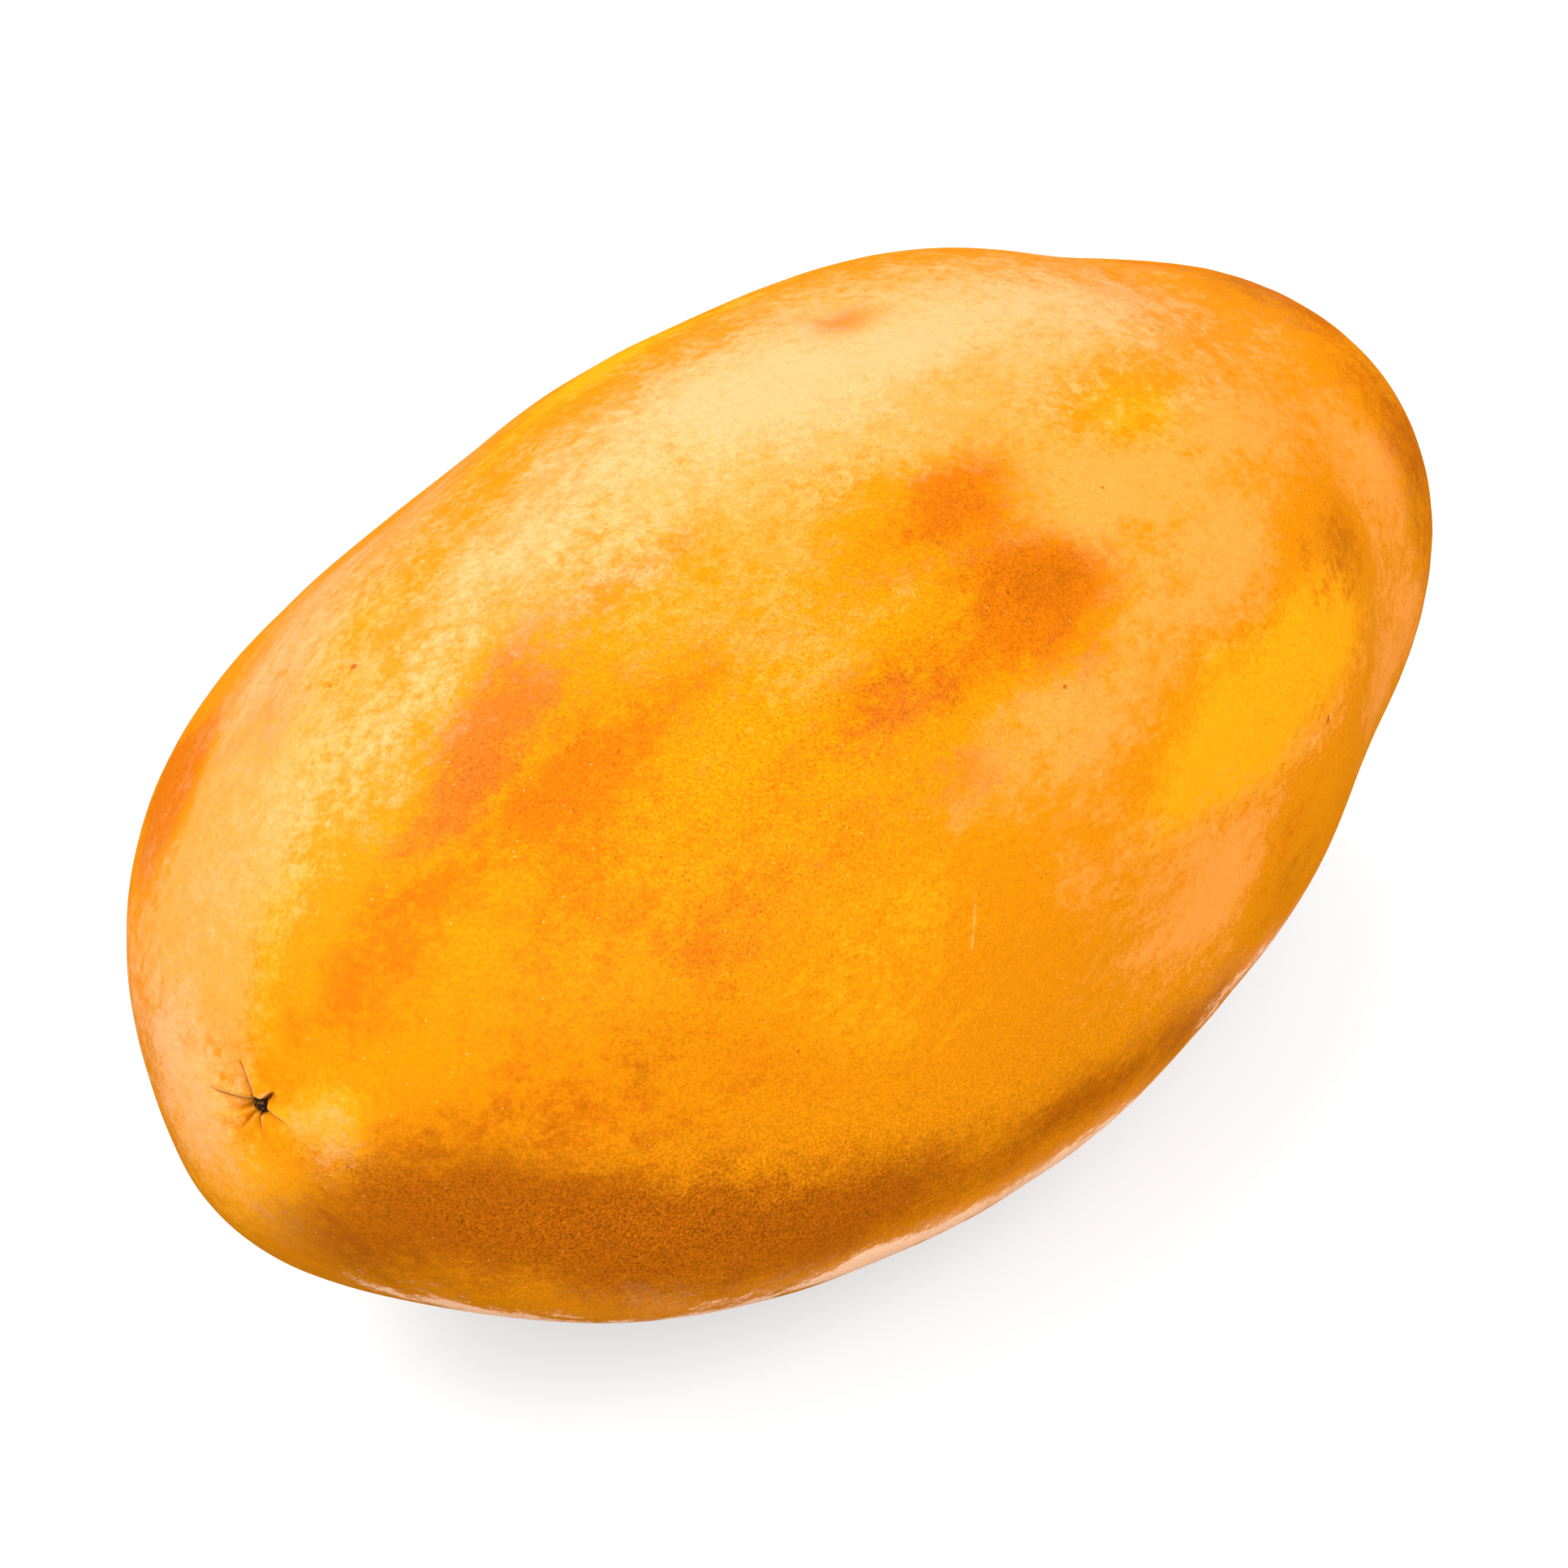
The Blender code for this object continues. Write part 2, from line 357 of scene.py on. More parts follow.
skin_shape = bmesh.new()
bmesh.ops.create_uvsphere(skin_shape, u_segments=LINES, v_segments=bands, radius=1)
places = []
for vert in skin_shape.verts:
    ring = round(acos(max(-1, min(1, vert.co.z))) / pi * bands)
    around = atan2(vert.co.y, vert.co.x) % (2 * pi)
    point = skin_point(rings[ring], around)
    radius = hypot(point.y, point.z)
    places.append((rings[ring], around, radius))
    point += direction(rings[ring], around) * growth(point, radius, around)
    vert.co = lie_down(point)
fruit = make_object("papaya_skin", skin_shape)
print("fruit", len(fruit.data.vertices), "points,", 2 * LINES * (bands - 1), "triangles")
low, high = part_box("fruit")
print("solid's box", [round(v / MM, 2) for v in low], [round(v / MM, 2) for v in high])

# %% [markdown]
# ## Where the colours lie
#
# A papaya ripens in clouds. Some places are still yellow and some are already deep orange or
# blushed red, a peach bloom lies over part of it, and its ridge is creamy with wax, with a
# painted sheen over the wax. A pale strip low along its side is a painted reflection of the
# white table, and the underside is browner, partly in its own colour and partly as painted
# shade. The skin is also more pored in some places than in others. Each kind of cloud is a
# list of ovals, given by where they lie and how far they reach, in degrees along and round the
# fruit. An oval with a negative amount leaves a gap in the cloud. Their sums are kept on the
# points of the mesh as attributes, and the skin's material crumbles their edges. Painting them
# on an image would need an unwrapped mesh, and would blur when seen close.

# %% Ovals of each cloud
# Each oval: degrees along, degrees round, its reach along and round, and its amount.
CLOUDS = {
    "yellow": (
        (112, 162, 20, 9, 1.4),
        (132, 156, 9, 7, 1.1),
        (126, 118, 8, 7, 0.42),
        (84, 66, 14, 5, 1.0),
        (112, 69, 14, 4, 0.6),
        (60, 68, 12, 4, 0.5),
        (50, 165, 14, 14, 0.45),
        (32, 60, 14, 20, 0.5),
        (14, 84, 8, 10, 0.4),
        (5, 178, 4.5, 32, 1.1),
        (10, 288, 6, 26, 0.8),
        (7, 345, 5, 42, 0.9),
        (6, 60, 5, 60, 0.4),
        (5, 250, 4, 40, 0.7),
        (100, 340, 40, 30, 0.5),
        (60, 290, 30, 25, 0.5),
        (140, 30, 20, 25, 0.5),
    ),
    "deep": (
        (30, 27, 9, 14, 1.1),
        (90, 116, 17, 7, 0.75),
        (92, 132, 14, 7, 0.75),
        (97, 127, 20, 12, 0.3),
        (68, 134, 20, 5, 0.7),
        (88, 143, 7, 4, 0.5),
        (141, 148, 10, 9, 0.4),
        (126, 184, 8, 13, 0.2),
        (163, 95, 4, 25, 0.7),
        (163, 140, 4, 30, 0.7),
        (161, 190, 4, 25, 0.5),
        (155, 85, 3, 6, 0.6),
        (29, 148, 10, 14, 0.4),
        (28, 120, 14, 12, 0.75),
        (11, 122, 6, 20, 0.5),
        (52, 118, 14, 8, 0.45),
        (44, 150, 14, 10, 0.35),
        (124, 134, 10, 6, -0.4),
        (50, 100, 14, 4, 0.6),
        (25, 178, 14, 14, 0.5),
        (95, 20, 25, 16, 0.6),
        (60, 270, 25, 20, 0.6),
        (120, 255, 25, 20, 0.6),
        (125, 330, 20, 20, 0.6),
        (160, 300, 6, 60, 0.7),
    ),
    "blush": (
        (27, 107, 6, 6, 1.0),
        (34, 101, 7, 5, 0.9),
        (41, 96, 5, 3, 0.5),
        (60, 136, 10, 4, 0.45),
        (66, 146, 8, 5, 0.5),
        (107, 86, 7, 4, 0.6),
        (86, 142, 8, 5, 0.4),
        (30, 60, 5, 18, 0.5),
        (80, 320, 15, 12, 0.7),
        (130, 20, 12, 10, 0.7),
    ),
    # Brown skin in places, and painted shade along the underside, which faces away from the
    # light.
    "brown_and_shade": (
        (25, 199, 13, 12, 1.4),
        (15, 206, 7, 24, 0.8),
        (14, 180, 5, 10, 0.35),
        (12, 240, 5, 26, 0.9),
        (47, 206, 18, 8, 1.0),
        (92, 205, 36, 6, 0.85),
        (36, 216, 14, 7, 0.6),
        (89, 131, 10, 7, 0.42),
        (92, 118, 10, 4, 0.35),
        (70, 134, 12, 5, 0.32),
        (30, 112, 12, 12, 0.3),
        (26, 160, 8, 12, 0.2),
        (136, 152, 8, 8, 0.25),
        (162, 150, 4, 20, 0.4),
        (160, 98, 4, 14, 0.38),
        (129, 192, 9, 6, 0.15),
        (60, 250, 30, 16, 0.5),
        (165, 200, 4, 60, 0.4),
    ),
    "bloom": (
        (18, 56, 18, 30, 1.3),
        (112, 130, 44, 56, 0.95),
        (84, 94, 44, 14, 0.6),
        (62, 116, 16, 12, 0.35),
        (77, 147, 15, 7, 0.4),
        (110, 184, 12, 9, 0.7),
        (152, 182, 12, 12, 0.65),
        (154, 146, 6, 14, 0.55),
        (30, 27, 10, 13, -1.3),
        (87, 116, 19, 7, -0.8),
        (86, 133, 22, 9, -0.95),
        (126, 117, 10, 7, -0.6),
        (136, 151, 10, 10, -1.2),
        (110, 158, 20, 9, -0.95),
        (128, 187, 10, 11, -1.2),
        (164, 150, 4, 22, -0.7),
        (161, 96, 5, 18, -0.6),
        (84, 65, 16, 5, -0.8),
        (58, 172, 16, 16, -0.4),
        (7, 255, 6, 50, -0.8),
        (12, 10, 14, 40, 0.45),
        (95, 219, 40, 6, 1.0),
        (130, 205, 20, 6, 0.7),
        (110, 350, 40, 36, 0.7),
        (60, 320, 30, 30, 0.7),
        (120, 280, 30, 20, 0.6),
        (40, 240, 14, 20, 0.7),
    ),
    # Creamy wax on the ridge with a painted sheen over it, and a low band that adds to the
    # painted reflection of the table.
    "wax_and_sheen": (
        (80, 89, 42, 12, 0.85),
        (110, 96, 24, 14, 0.42),
        (28, 68, 18, 22, 0.34),
        (50, 50, 24, 16, 0.6),
        (137, 102, 18, 16, 0.48),
        (109, 87, 7, 4, -0.6),
        (5, 182, 3.5, 26, 0.5),
        (8, 338, 5, 36, 0.6),
        (7, 290, 5, 40, 0.35),
        (10, 10, 12, 30, 0.4),
        (90, 219, 40, 5, 0.8),
    ),
    "pored": (
        (42, 140, 22, 34, 0.9),
        (80, 125, 24, 22, 0.7),
        (60, 200, 60, 12, 0.8),
        (30, 205, 22, 20, 1.1),
        (28, 104, 8, 8, 0.5),
        (125, 158, 18, 14, 0.5),
        (90, 330, 50, 50, 0.5),
        (163, 150, 6, 60, 0.5),
    ),
    # A painted reflection of the white table, low along the side.
    "floor_reflection": (
        (92, 218, 30, 4, 0.9),
        (62, 222, 14, 5, 0.9),
        (42, 230, 10, 5, 0.8),
        (28, 241, 7, 8, 0.9),
        (23, 254, 6, 8, 0.5),
        (130, 207, 14, 4, 0.5),
    ),
}
print("clouds", len(CLOUDS), "ovals", sum(len(ovals) for ovals in CLOUDS.values()))

# %% Clouds kept on the mesh
alongs, arounds, radii = (np.array(column) for column in zip(*places))


def cloud_sum(ovals):
    """The sum of soft ovals at every point of the mesh."""
    total = np.zeros(len(alongs))
    for along, around, reach_along, reach_round, amount in ovals:
        turn = np.degrees((arounds - radians(around) + pi) % (2 * pi) - pi)
        off_along = (np.degrees(alongs) - along) / reach_along
        total += amount * np.exp(-(off_along**2) - (turn / reach_round) ** 2)
    return total


def keep_on_points(piece, name, values):
    """Stores one number for each point of the mesh, for its material to read."""
    layer = piece.data.attributes.new(name, "FLOAT", "POINT")
    layer.data.foreach_set("value", np.asarray(values, dtype=np.float32))
    print(name, "from", round(float(min(values)), 2), "to", round(float(max(values)), 2))


for cloud, ovals in CLOUDS.items():
    keep_on_points(fruit, cloud, cloud_sum(ovals))

# %% [markdown]
# ## Painted shade and highlight in the star
#
# Each crease of the star is given painted shade: dark along its bottom, and a browner orange
# on the side that slopes into it. Its rounded lip is given a painted highlight, paler than the
# skin beside it. The pit is darkened by painted shade too. Each of these is a number on the
# points of the mesh, worked out from the same creases as the form, so the painted shade and
# highlight follow them exactly.

# %% Painted shade on the lines, slopes and pit of the star, and painted highlight on its lips
# How strongly each crease's painted shade and lip highlight show, in the order of the creases.
CREASE_SHADES = (1.8, 1.3, 0.4, 0.4, 0.8, 1.1, 1.3)
# Painted shade along each crease's bottom and on the slope into it.
SHADOW_LINE_WIDTH = 0.3 * MM
SLOPE_SHADE_WIDTH = 1.1 * MM
# Painted highlight on each crease's lip.
LIP_HIGHLIGHT_PLACE = 0.55 * MM
LIP_HIGHLIGHT_WIDTH = 0.3 * MM
PIT_SHADE_RADIUS = 1.9 * MM
shadow_lines, slope_shades, edges = [], [], []
for along, around, radius in places:
    near = creases_near(radius, around) if along < pi / 2 else []
    shades = [(fade * CREASE_SHADES[which], aside) for which, fade, aside in near]
    on_shadow_line = [shade * bump(aside, SHADOW_LINE_WIDTH) for shade, aside in shades]
    in_slope_shade = [shade * exp(aside / SLOPE_SHADE_WIDTH) for shade, aside in shades if aside < 0]
    on_lip_highlight = [shade * bump(aside - LIP_HIGHLIGHT_PLACE, LIP_HIGHLIGHT_WIDTH) for shade, aside in shades]
    shadow_lines.append(max(on_shadow_line, default=0))
    slope_shades.append(max(in_slope_shade, default=0))
    edges.append(max(on_lip_highlight, default=0))
keep_on_points(fruit, "crease_shadow_line", shadow_lines)
keep_on_points(fruit, "crease_slope_shade", slope_shades)
keep_on_points(fruit, "crease_edge", edges)
# Painted shade in the pit.
in_pit = np.where(alongs < pi / 2, np.exp(-((radii / PIT_SHADE_RADIUS) ** 2)), 0)
keep_on_points(fruit, "pit_shade", in_pit)

# %% [markdown]
# ## Materials as sums
#
# A material in Blender is a web of nodes, and a long web is hard to read. A small class that
# stands for one output of a node lets the same web be written as sums: adding or multiplying
# two of them adds the Math node that does it.

# %% A socket that can be added and multiplied
class Socket:
    """An output of a node that takes part in sums."""

    def __init__(self, web, link):
        self.web = web
        self.link = link

    def beside(self, name):
        """Another output of the same node."""
        return Socket(self.web, self.link.node.outputs[name])

    def math(self, operation, *others):
        """Maths with numbers or with other sockets."""
        return self.web.node("ShaderNodeMath", {"operation": operation}, self, *others)

    def __add__(self, other):
        return self.math("ADD", other)

    __radd__ = __add__

    def __mul__(self, other):
        return self.math("MULTIPLY", other)

    __rmul__ = __mul__

    def __sub__(self, other):
        return self.math("SUBTRACT", other)

    def __rsub__(self, other):
        return self.web.node("ShaderNodeMath", {"operation": "SUBTRACT"}, other, self)


print("operators", sorted(name for name in vars(Socket) if name[2:5] in ("add", "sub", "mul")))

# %% [markdown]
# ## One maker of nodes
#
# Every other node comes from one method, `node`, which is given the kind of node, its settings
# and its inputs. The steps that all the finishes share, such as noise whose lumps have a size
# or a bump that has a depth, are short methods on top of it. They take real lengths, so that a
# pore is as wide as it says.

# %% The web of nodes of one finish
class Web:
    """The nodes of one material."""

    def __init__(self, name):
        self.material = bpy.data.materials.new(name)
        self.material.use_nodes = True
        self.tree = self.material.node_tree
        self.surface = self.tree.nodes["Principled BSDF"]

    def fill(self, node, place, value):
        """Links or sets one input of a node."""
        if isinstance(value, Socket):
            self.tree.links.new(value.link, node.inputs[place])
        else:
            node.inputs[place].default_value = value

    def node(self, kind, settings, *values, output=0, **named):
        """A node of a kind: its settings first, then the values or links of its inputs."""
        made = self.tree.nodes.new(kind)
        for name, value in settings.items():
            setattr(made, name, value)
        for place, value in enumerate(values):
            self.fill(made, place, value)
        for name, value in named.items():
            self.fill(made, name.replace("_", " "), value)
        return Socket(self, made.outputs[output])

    def place(self):
        """Where a point of the piece is, in metres."""
        return self.node("ShaderNodeTexCoord", {}, output="Object")

    def attribute(self, name):
        """A number that is kept on the points of the mesh."""
        return self.node("ShaderNodeAttribute", {"attribute_name": name}, output="Fac")

    def noise(self, place, size, detail=4, rough=0.5, seed=0):
        """Smooth noise from 0 to 1, whose largest lumps are of a size in metres."""
        return self.node(
            "ShaderNodeTexNoise",
            {"noise_dimensions": "4D"},
            Vector=place,
            W=seed,
            Scale=1 / size,
            Detail=detail,
            Roughness=rough,
        )

    def vector(self, operation, *values, **named):
        """Vector maths, on places, directions or colours."""
        return self.node("ShaderNodeVectorMath", {"operation": operation}, *values, **named)

    def stretched(self, place, factors):
        """The same place with its axes drawn out or squeezed, so that noise gets a grain."""
        return self.node(
            "ShaderNodeMapping", {}, Vector=place, Rotation=(0, -TILT, 0), Scale=factors
        )

    def rise(self, value, start, end):
        """0 below the start, 1 above the end, and a smooth rise between."""
        return self.node(
            "ShaderNodeMapRange",
            {"interpolation_type": "SMOOTHSTEP"},
            Value=value,
            From_Min=start,
            From_Max=end,
        )

    def mix(self, share, first, second):
        """Two colours, from all of the first at 0 to all of the second at 1."""
        made = self.tree.nodes.new("ShaderNodeMix")
        made.data_type = "RGBA"
        self.fill(made, "Factor", share)
        self.fill(made, 6, first)
        self.fill(made, 7, second)
        return Socket(self, made.outputs[2])

    def shade(self, colour, amount):
        """A colour made darker or lighter by a number."""
        return self.vector("SCALE", Vector=colour, Scale=amount)

    def relief(self, height, strength, depth, below=None):
        """A bump of a depth in metres."""
        inputs = {"Height": height, "Strength": strength, "Distance": depth}
        if below is not None:
            inputs["Normal"] = below
        return self.node("ShaderNodeBump", {}, **inputs)

    def finish(self, **inputs):
        """Sets the inputs of the surface."""
        for name, value in inputs.items():
            self.fill(self.surface, name.replace("_", " "), value)
        return self.material


print("material helpers ready")

# %% [markdown]
# ## The skin
#
# Ripe papaya skin is a waxy, faintly leathery film. From near by it is a golden ground with
# clouds of yellow and deep orange, under a peach bloom that is worn through in mottled
# patches. Its colours are close to each other, so they are named first, and each step below
# lays one kind of mark over the last. A picture could be laid on the fruit instead, but it
# would only show the side that was seen.

# %% Colours of the skin
GOLDEN = (0.47, 0.150, 0.001, 1)
YELLOW = (0.62, 0.235, 0.003, 1)
DEEP = (0.40, 0.096, 0.001, 1)
PEACH = (0.60, 0.208, 0.036, 1)
# Creamy wax, also used as painted sheen.
WAX_AND_SHEEN = (0.57, 0.285, 0.125, 1)
# Colour of the painted reflection of the table.
FLOOR_REFLECTION = (0.74, 0.44, 0.27, 1)
BLUSH = (0.38, 0.076, 0.007, 1)
# Brown skin, also used as painted shade on the underside and on the creases' slopes.
BROWN_AND_SHADE = (0.24, 0.057, 0.001, 1)
# Painted shade along the creases and in the pit.
FOLD_SHADE = (0.10, 0.018, 0.001, 1)
# Painted highlight on the creases' lips.
LIP_HIGHLIGHT = (0.62, 0.36, 0.12, 1)
SPECK = (0.60, 0.36, 0.16, 1)
SCAR = (0.60, 0.33, 0.13, 1)
SPOT_BROWN = (0.20, 0.045, 0.003, 1)
print("golden ground", GOLDEN[:3], "deep orange", DEEP[:3])

# %% [markdown]
# ## The grain of the skin
#
# All the marks on the skin share one grain. It comes from smooth noise at several sizes, from
# crumbs of a few millimetres down to pores of half a millimetre. A real skin was stretched
# lengthwise as the fruit grew, so most of the noise is drawn out along the fruit too. One set
# of noises serves every step, which keeps the marks in keeping with each other.

# %% Noise at five sizes
CRUMBLE_SIZE = 3.5 * MM
MOTTLE_SIZE = 1.4 * MM
STIPPLE_SIZE = 0.42 * MM
GRAIN_SIZE = 1.1 * MM
LEATHER_SIZE = 2.4 * MM
ALONG_CRUMBLE = (0.55, 1, 1)
ALONG_MOTTLE = (0.75, 1, 1)
ALONG_GRAIN = (0.6, 1, 1)
ALONG_LEATHER = (0.45, 1, 1)

skin = Web("ripe_skin")
place = skin.place()
grained = skin.stretched(place, ALONG_CRUMBLE)
crumble = skin.noise(grained, CRUMBLE_SIZE, detail=8, rough=0.72)
mottled = skin.stretched(place, ALONG_MOTTLE)
mottle = skin.noise(mottled, MOTTLE_SIZE, detail=7, rough=0.8, seed=9)
stipple = skin.noise(place, STIPPLE_SIZE, detail=2, rough=0.8)
grain = skin.noise(skin.stretched(place, ALONG_GRAIN), GRAIN_SIZE, detail=4, rough=0.7, seed=4)
leather = skin.noise(skin.stretched(place, ALONG_LEATHER), LEATHER_SIZE, detail=3, rough=0.55)
print("grain", len(skin.tree.nodes), "nodes")

# %% [markdown]
# ## Clouds over the golden ground
#
# Each cloud's edge is broken up by adding noise before it is cut off, so it crumbles as the
# real one does, while its middle stays plain. Blurring the clouds would be simpler, but then
# the bloom would look sprayed on instead of worn through. A cloud keeps to its ovals, so no
# fleck of it strays to the other side of the fruit.

# %% Layers of colour
# Each layer: its cloud, colour, the size of its lumps, how far they shift its edge, how
# soft that edge is, and how much of the colour shows at most.
LAYERS = (
    ("yellow", YELLOW, 15 * MM, 1.6, 0.4, 0.85),
    ("deep", DEEP, 13 * MM, 2.0, 0.35, 1.0),
    ("bloom", PEACH, 16 * MM, 1.6, 0.32, 0.8),
    ("blush", BLUSH, 9 * MM, 1.6, 0.4, 0.75),
    # Brown skin, partly painted shade on the underside.
    ("brown_and_shade", BROWN_AND_SHADE, 16 * MM, 1.7, 0.7, 0.95),
    # Creamy wax with painted sheen.
    ("wax_and_sheen", WAX_AND_SHEEN, 14 * MM, 1.4, 0.45, 0.7),
    # Painted reflection of the table.
    ("floor_reflection", FLOOR_REFLECTION, 9 * MM, 2.4, 0.2, 0.9),
)
COVER = 0.52
CRUMBS = 1.2
FINE_CRUMBS = 1.9
NO_STRAY = (0.0, 0.16)

colour = GOLDEN
for seed, (name, layer_colour, size, reach, softness, most) in enumerate(LAYERS):
    lumps = skin.noise(grained, size, detail=9, rough=0.62, seed=seed)
    broken = (lumps - 0.5) * reach + (crumble - 0.5) * CRUMBS + (mottle - 0.5) * FINE_CRUMBS
    field = skin.attribute(name)
    shows = skin.rise(field + broken, COVER - softness, COVER + softness)
    colour = skin.mix(shows * skin.rise(field, *NO_STRAY) * most, colour, layer_colour)
print("layers", len(LAYERS))

# %% [markdown]
# ## Pores and specks
#
# Close up, the skin is stippled with pores, darker in their middles, and it has small pale
# specks. The pores are the finest noises, which darken and lighten the colour, and they are
# stronger where the skin is more pored. The specks are dots on a loose grid.

# %% Fine marks over the clouds
MOTTLE_SHADE = 0.3
STIPPLE_SHADE = 1.9
GRAIN_SHADE = 0.3
PORES_EVERYWHERE = 0.4
PORES_IN_PLACES = 0.8
SPECK_SPACING = 1.7 * MM
SPECK_RADIUS = 0.16 * MM
SPECK_SHARE = 0.3
SPECK_SHOWS = 0.5
SPECK_CORE = 0.6
CHOICE_EDGE = 0.02


def dots(web, place, spacing, radius, share):
    """1 on small round dots, for a share of the places that are one spacing apart."""
    scale = 1 / spacing
    off = web.node("ShaderNodeTexVoronoi", {}, Vector=place, Scale=scale, output="Distance")
    chosen = web.node("ShaderNodeSeparateColor", {}, off.beside("Color"))
    near = 1 - web.rise(off, SPECK_CORE * radius / spacing, radius / spacing)
    return near * web.rise(chosen, 1 - share, 1 - share + CHOICE_EDGE)


detail = (mottle - 0.5) * MOTTLE_SHADE + (stipple - 0.5) * STIPPLE_SHADE
detail = detail + (grain - 0.5) * GRAIN_SHADE
pores = PORES_EVERYWHERE + skin.attribute("pored") * PORES_IN_PLACES
colour = skin.shade(colour, 1 + detail * pores)
specks = dots(skin, place, SPECK_SPACING, SPECK_RADIUS, SPECK_SHARE)
colour = skin.mix(specks * SPECK_SHOWS, colour, SPECK)
print("pores and specks laid over the clouds")

# %% [markdown]
# ## Scratches
#
# A few thin scratches from leaves and picking have healed to pale, faint lines. Each one is
# the distance to a short straight line in space, which needs no picture. Slow noise bends the
# line a little, and the mottle breaks it up.

# %% Healed scratches
# Each scratch: degrees along and round where it starts, and where it ends.
SCRATCHES = (
    (94, 100, 98, 126),
    (106, 114, 109, 124),
    (62, 159, 60, 168),
    (69, 84, 69, 97),
    (101, 94, 106, 91),
    (34, 91, 36, 93.5),
    (75, 176, 82, 175),
    (125, 172, 133, 169),
)
SCRATCH_WIDTH = 0.36 * MM
SCRATCH_CORE = 0.3
SCRATCH_SHOWS = 0.45
SCRATCH_BREAKS = (0.35, 0.6)
WAVER_SIZE = 5 * MM
WAVER = (0.7 * MM, 0.7 * MM, 0.7 * MM)


def on_skin(along, around):
    """The place on the lying fruit at degrees along and round it."""
    return lie_down(skin_point(radians(along), radians(around)))


def scratch(web, place, start, end, width):
    """1 on a straight line from one point to another, and 0 beside it."""
    length = (end - start).length
    way = tuple((end - start) / length)
    line = web.vector("SUBTRACT", place, tuple(start))
    run = web.vector("DOT_PRODUCT", line, way, output="Value")
    run = web.node("ShaderNodeClamp", {}, run, 0.0, length)
    foot = web.vector("SCALE", Vector=way, Scale=run)
    off = web.vector("LENGTH", web.vector("SUBTRACT", line, foot), output="Value")
    return 1 - web.rise(off, SCRATCH_CORE * width, width)


wander = skin.node(
    "ShaderNodeTexNoise", {}, Vector=place, Scale=1 / WAVER_SIZE, Detail=3.0, output="Color"
)
wavering = skin.vector("MULTIPLY_ADD", wander, WAVER, place)
faint = skin.rise(mottle, *SCRATCH_BREAKS) * SCRATCH_SHOWS
for along, around, end_along, end_around in SCRATCHES:
    start, end = on_skin(along, around), on_skin(end_along, end_around)
    shows = scratch(skin, wavering, start, end, SCRATCH_WIDTH) * faint
    colour = skin.mix(shows, colour, SCAR)
print("scratches", len(SCRATCHES))

# %% [markdown]
# ## Spots
#
# Small brown spots sit in some of the dents, and on a few other places. Each is the distance
# to one point, roughened by the stipple so that its edge isn't a clean circle.

# %% Brown spots
SPOT_SHOWS = 0.8
SPOT_CORE = 0.4
# Each spot: degrees along, degrees round, and its radius.
SPOTS = (
    (33, 76.5, 0.7 * MM),
    (31.2, 73.5, 0.6 * MM),
    (84, 144, 0.55 * MM),
    (86, 131, 0.5 * MM),
    (130.6, 170, 0.8 * MM),
    (112, 126, 0.35 * MM),
    (57, 131, 0.3 * MM),
    (72, 163, 0.3 * MM),
    (40, 172, 0.35 * MM),
    (60, 196, 0.4 * MM),
    (95, 300, 0.6 * MM),
    (55, 10, 0.6 * MM),
    (120, 350, 0.5 * MM),
)

for along, around, size in SPOTS:
    off = skin.vector("DISTANCE", place, tuple(on_skin(along, around)), output="Value")
    dark = 1 - skin.rise(off + (stipple - 0.5) * size, SPOT_CORE * size, size)
    colour = skin.mix(dark * SPOT_SHOWS, colour, SPOT_BROWN)
print("spots", len(SPOTS))

# %% [markdown]
# ## The star's painted shade and highlight
#
# The numbers that were kept on the mesh for the star now choose its painted shade and
# highlight:
# brown painted shade on the slopes, a pale painted highlight on the lips, and nearly black
# painted shade along the creases and in the pit. They come last, because the star's painted
# shade lies over every other mark.

# %% Painted shade and highlight of the star
# Each painted shade or highlight of the star: its number, colour, where it starts and is full,
# and its most.
STAR_SHADES = (
    ("crease_slope_shade", BROWN_AND_SHADE, 0.2, 1.1, 0.6),
    ("crease_edge", LIP_HIGHLIGHT, 0.1, 0.8, 0.5),
    ("crease_shadow_line", FOLD_SHADE, 0.12, 0.6, 0.9),
    ("pit_shade", FOLD_SHADE, 0.4, 0.8, 0.9),
)

for name, shade, start, full, most in STAR_SHADES:
    share = skin.rise(skin.attribute(name), start, full) * most
    colour = skin.mix(share, colour, shade)
print("star shades", len(STAR_SHADES))

# %% [markdown]
# ## Relief and gloss
#
# Wax makes the skin satin. Most of its sheen is broad and dull, so the surface is fairly
# rough, and a thin coat adds a little gloss, more on the waxy ridge. A fine bump of leathery
# folds and pores breaks up the highlight, since it is too fine to be made in the mesh.

# %% Finish of the skin
LEATHER_DEPTH = 0.16 * MM
GRAIN_DEPTH = 0.07 * MM
SATIN = 0.38
GRAIN_DULLS = 0.16
WAX = 0.03
RIDGE_WAX = 0.25
WAX_ROUGHNESS = 0.4

fine_relief = skin.relief(leather, 1.0, LEATHER_DEPTH)
fine_relief = skin.relief(grain, 1.0, GRAIN_DEPTH, below=fine_relief)
ripe_skin = skin.finish(
    Base_Color=colour,
    Roughness=SATIN + grain * GRAIN_DULLS,
    Normal=fine_relief,
    Specular_IOR_Level=0.0,
    Coat_Weight=skin.attribute("wax_and_sheen") * RIDGE_WAX + WAX,
    Coat_Roughness=WAX_ROUGHNESS,
)
fruit.data.materials.append(ripe_skin)
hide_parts("fruit")
print("skin nodes", len(skin.tree.nodes))

# %% [markdown]
# ## The dry rest of the flower
#
# In the middle of the star sits what is left of the flower: black-brown, dry and curled, not
# three millimetres across. A ball whose surface is folded by ridged noise looks like such a
# shrivelled clump, and stays one closed piece.

